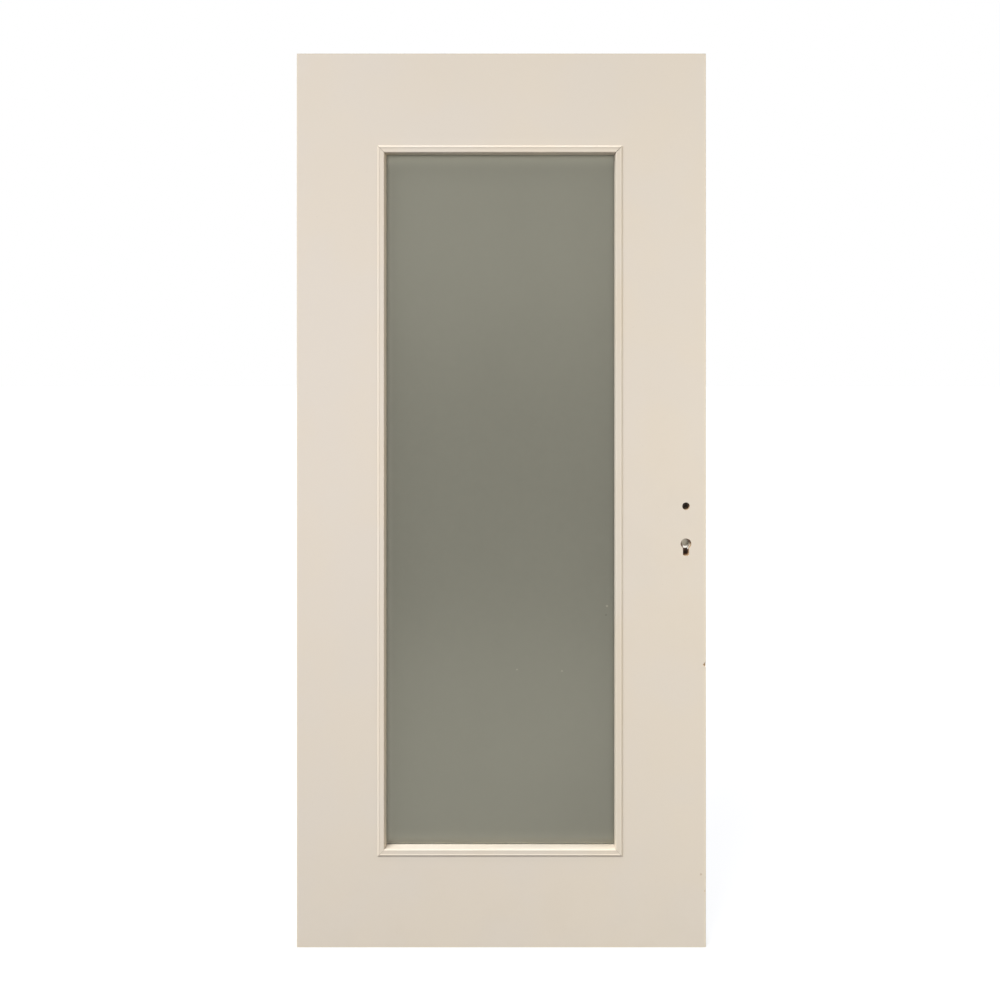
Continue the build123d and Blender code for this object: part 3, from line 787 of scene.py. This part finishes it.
zinc_parts = metal("zinc_pressing", (206, 198, 180), (170, 158, 134), (300, 300, 90), 0.38, 0.01,
                   "lock_case", "lock_cover")
metal("sintered_follower", (84, 76, 68), (44, 36, 30), (700, 700, 700), 0.5, 0.05,
      "spindle_follower")
metal("ground_forend", (202, 200, 194), (168, 162, 148), (1800, 1800, 18), 0.26, 0.015,
      "lock_forend")
metal("nickel_bolt", (208, 204, 194), (170, 164, 150), (900, 900, 60), 0.22, 0.01,
      "latch_bolt", "dead_bolt")
metal("bright_screw", (200, 198, 190), (150, 145, 130), (1200, 1200, 1200), 0.24, 0.01,
      "forend_screw_upper", "forend_screw_lower")

# %% [markdown]
# ## What shows in the keyhole
# Through the keyhole the plate of the lock case shows, and its colour holds painted shade and a
# painted highlight: painted shade darkens a ring just inside the hole's edge and fills the narrow
# foot, and a bright crescent between them is a painted highlight on the plate. All three are masks
# on the zinc finish: distances from a point on the plate, and for the crescent also how far below
# that point a place lies. The photograph looks into the hole from above and from the left, so that
# point is a little below and to the right of the cylinder's axis.

# %% Painted shade and the painted crescent highlight
STEM_SHADE_CENTRE = cylinder + Vector((0, 0, -20 * MM))
CRESCENT_CENTRE = cylinder + Vector((2.3, 0, -2.4)) * MM
CRESCENT_SIDE = (0.35, 0, -0.94)
CRESCENT_TILT = (-0.18, 0, 0.18)

tree, shader, place, zinc, zinc_roughness = zinc_parts
# Painted shade: the plate is painted dark brown round a point below the cylinder, for the shade in the
# keyhole's narrow foot.
painted_stem_shade = use_group(tree, mark_group, Vector=place, Centre=tuple(STEM_SHADE_CENTRE), Radius=15 * MM)["Mask"]
stem_darkened = blend(tree, maths(tree, "MULTIPLY", painted_stem_shade, 0.85), zinc, srgb(92, 74, 54))
from_crescent_centre = vector_maths(tree, "SUBTRACT", place, CRESCENT_CENTRE)["Vector"]
on_plate = vector_maths(tree, "MULTIPLY", from_crescent_centre, (1, 0, 1))["Vector"]
reach = vector_maths(tree, "LENGTH", on_plate)["Value"]
below = vector_maths(tree, "DOT_PRODUCT", on_plate, CRESCENT_SIDE)["Value"]
# Painted highlight: a near-white crescent on the plate, with lower roughness, stands for light caught
# low on the right of the hole.
crescent_ring = maths(tree, "MULTIPLY", between(tree, reach, 7.6 * MM, 8.6 * MM),
              between(tree, reach, 13.0 * MM, 12.2 * MM))
painted_crescent_highlight = maths(tree, "MULTIPLY", crescent_ring, between(tree, below, 1.5 * MM, 5.5 * MM))
# Painted shade: beyond about 8 mm from the crescent's centre the plate is painted darker, for the
# shade just inside the hole's edge.
painted_rim_shade = maths(tree, "MULTIPLY", between(tree, reach, 6.5 * MM, 9.5 * MM), 0.9)
rim_shaded = blend(tree, painted_rim_shade, stem_darkened, srgb(118, 92, 78))
join(tree, blend(tree, painted_crescent_highlight, rim_shaded, srgb(252, 248, 238)), shader.inputs["Base Color"])
crescent_roughness_cut = maths(tree, "SUBTRACT", 1.0, maths(tree, "MULTIPLY", painted_crescent_highlight, 0.7))
join(tree, maths(tree, "MULTIPLY", zinc_roughness, crescent_roughness_cut), shader.inputs["Roughness"])
print("crescent about", [round(c, 4) for c in CRESCENT_CENTRE])
print("stem_shade about", [round(c, 4) for c in STEM_SHADE_CENTRE])

# %% [markdown]
# Under the painted highlight the normal leans up and to the left. That lean is added to the normal
# that the bump gives, so the metal there mirrors the bright room in front of the hole, and not the
# hole's own wall.

# %% Lean of the normal under the painted highlight
lean = add(tree, "VectorMath", {"operation": "SCALE"})
lean.inputs[0].default_value = CRESCENT_TILT
join(tree, painted_crescent_highlight, lean.inputs["Scale"])
ground_normal = shader.inputs["Normal"].links[0].from_socket
leaning = vector_maths(tree, "ADD", ground_normal, lean.outputs["Vector"])["Vector"]
join(tree, vector_maths(tree, "NORMALIZE", leaning)["Vector"], shader.inputs["Normal"])
print("zinc finish", len(tree.nodes), "nodes")

# %% [markdown]
# ## Light
# In the photograph the foot of the glazing opening is the brightest place and its top is the
# darkest, and the reveal on the lock side is lit while the one on the hinge side isn't. So the
# main light comes from high on the left and in front. A wide sun gives that direction evenly over
# a two metre door. A small lamp near the door would light its middle more than its ends. A second
# sun, almost overhead, lights the foot of the opening from both sides of the door.

# %% Two suns
def sun(name, comes_from, energy, width, colour):
    """A sun lamp; width is the angle of its disc in degrees, and a wide one casts soft shadows."""
    lamp_data = bpy.data.lights.new(name, "SUN")
    lamp_data.energy = energy
    lamp_data.angle = math.radians(width)
    lamp_data.color = colour
    lamp = bpy.data.objects.new(name, lamp_data)
    lamp.rotation_euler = (-Vector(comes_from)).to_track_quat("-Z", "Y").to_euler()
    bpy.context.collection.objects.link(lamp)
    print(name, "sun", energy, "at", width, "degrees")


sun("key", (-0.44, -0.49, 0.74), 3.08, 36, (0.98, 1.0, 0.95))
sun("back", (-0.05, 0.10, 0.99), 1.7, 30, (0.92, 1.0, 1.2))

# %% [markdown]
# Three broad panels stand in for the room. A cool one in front is a window behind the camera, a
# cool one on the left lights the reveal on the lock side, and a warm one on the right is a wall
# that throws light back into the hinge-side reveal. They light the door, but they don't show in
# its glass.

# %% Soft panels
AIM = door_middle + Vector((0, 0, 0.12))


def panel(name, place, size, energy, colour):
    """A soft lamp that faces the middle of the door."""
    lamp_data = bpy.data.lights.new(name, "AREA")
    lamp_data.shape = "RECTANGLE"
    lamp_data.size, lamp_data.size_y = size
    lamp_data.energy = energy
    lamp_data.color = colour
    lamp = bpy.data.objects.new(name, lamp_data)
    lamp.location = place
    lamp.visible_glossy = False
    lamp.visible_transmission = False
    lamp.rotation_euler = (AIM - lamp.location).to_track_quat("-Z", "Y").to_euler()
    bpy.context.collection.objects.link(lamp)
    print(name, "panel", energy, "watts")


panel("cool_window", (-0.3, -2.0, 1.35), (1.2, 1.2), 10.5, (0.86, 0.86, 1.0))
panel("side_window", (-2.2, -0.5, 1.15), (1.2, 2.0), 8.0, (0.96, 1.0, 1.0))
panel("warm_wall", (2.6, -0.8, 1.15), (1.6, 2.0), 17.0, (1.0, 0.94, 0.72))

# %% [markdown]
# The world is plain white wherever it is seen: by the camera, in polished metal and through the
# glass. For all other light it gives a weak fill in front of the door and a white sweep behind
# it, as in a studio, which keeps the satin glass and the back of the door from going dull. In a
# world, Generated coordinates are the direction that a ray goes, so their Y tells front from back.

# %% World
FILL = 0.40
SWEEP = 1.0
SWEEP_STARTS = 0.3


def seen_directly(tree):
    """1 for rays that show the background: from the camera, in mirrors and through glass."""
    path = tree.nodes.new("ShaderNodeLightPath").outputs
    first = maths(tree, "MAXIMUM", path["Is Camera Ray"], path["Is Glossy Ray"])
    return maths(tree, "MAXIMUM", first, path["Is Transmission Ray"])


world = bpy.data.worlds.new("studio")
world.use_nodes = True
bpy.context.scene.world = world
tree = world.node_tree
background = tree.nodes["Background"]
background.inputs["Color"].default_value = (1, 1, 1, 1)
towards_back = split_place(tree, tree.nodes.new("ShaderNodeTexCoord").outputs["Generated"])[1]
behind = add(tree, "MapRange", From_Min=0.0, From_Max=SWEEP_STARTS, To_Min=FILL, To_Max=SWEEP)
join(tree, towards_back, behind.inputs["Value"])
strength = add(tree, "MapRange", To_Max=1.0)
join(tree, seen_directly(tree), strength.inputs["Value"])
join(tree, behind.outputs["Result"], strength.inputs["To Min"])
join(tree, strength.outputs["Result"], background.inputs["Strength"])
print("world", FILL, "in front,", SWEEP, "behind, 1 where it is seen")

# %% [markdown]
# ## The floor
# The floor has to look white and still hold the door's shadow. Pure white light of its own would
# lose the shadow, and paint alone would be grey, so what the camera sees is a mix of the two. For
# the light that it bounces on to the door, the floor is nearly black, because the photographed
# door stood clear of any white floor.

# %% Floor
FLOOR_SIZE = 60.0
GLOW_SHARE = 0.75

bm = bmesh.new()
bmesh.ops.create_grid(bm, x_segments=1, y_segments=1, size=FLOOR_SIZE / 2)
floor_mesh = bpy.data.meshes.new("floor")
bm.to_mesh(floor_mesh)
bm.free()
floor = bpy.data.objects.new("floor", floor_mesh)
bpy.context.collection.objects.link(floor)
paint = bpy.data.materials.new("pale_floor")
paint.use_nodes = True
tree = paint.node_tree
tree.nodes.remove(tree.nodes["Principled BSDF"])
shown = add(tree, "BsdfDiffuse", Color=(0.72, 0.72, 0.72, 1))
glow = add(tree, "Emission", Color=(1, 1, 1, 1), Strength=1.0)
pale = add(tree, "MixShader", Fac=GLOW_SHARE)
join(tree, shown.outputs[0], pale.inputs[1])
join(tree, glow.outputs[0], pale.inputs[2])
bounce = add(tree, "BsdfDiffuse", Color=(0.06, 0.057, 0.054, 1))
choose = add(tree, "MixShader")
join(tree, seen_directly(tree), choose.inputs[0])
join(tree, bounce.outputs[0], choose.inputs[1])
join(tree, pale.outputs[0], choose.inputs[2])
join(tree, choose.outputs[0], tree.nodes["Material Output"].inputs["Surface"])
floor_mesh.materials.append(paint)
print("floor", FLOOR_SIZE, "m square")

# %% [markdown]
# ## View settings
# Standard view settings show each colour as it was written.

# %% View settings
bpy.context.scene.view_settings.view_transform = "Standard"
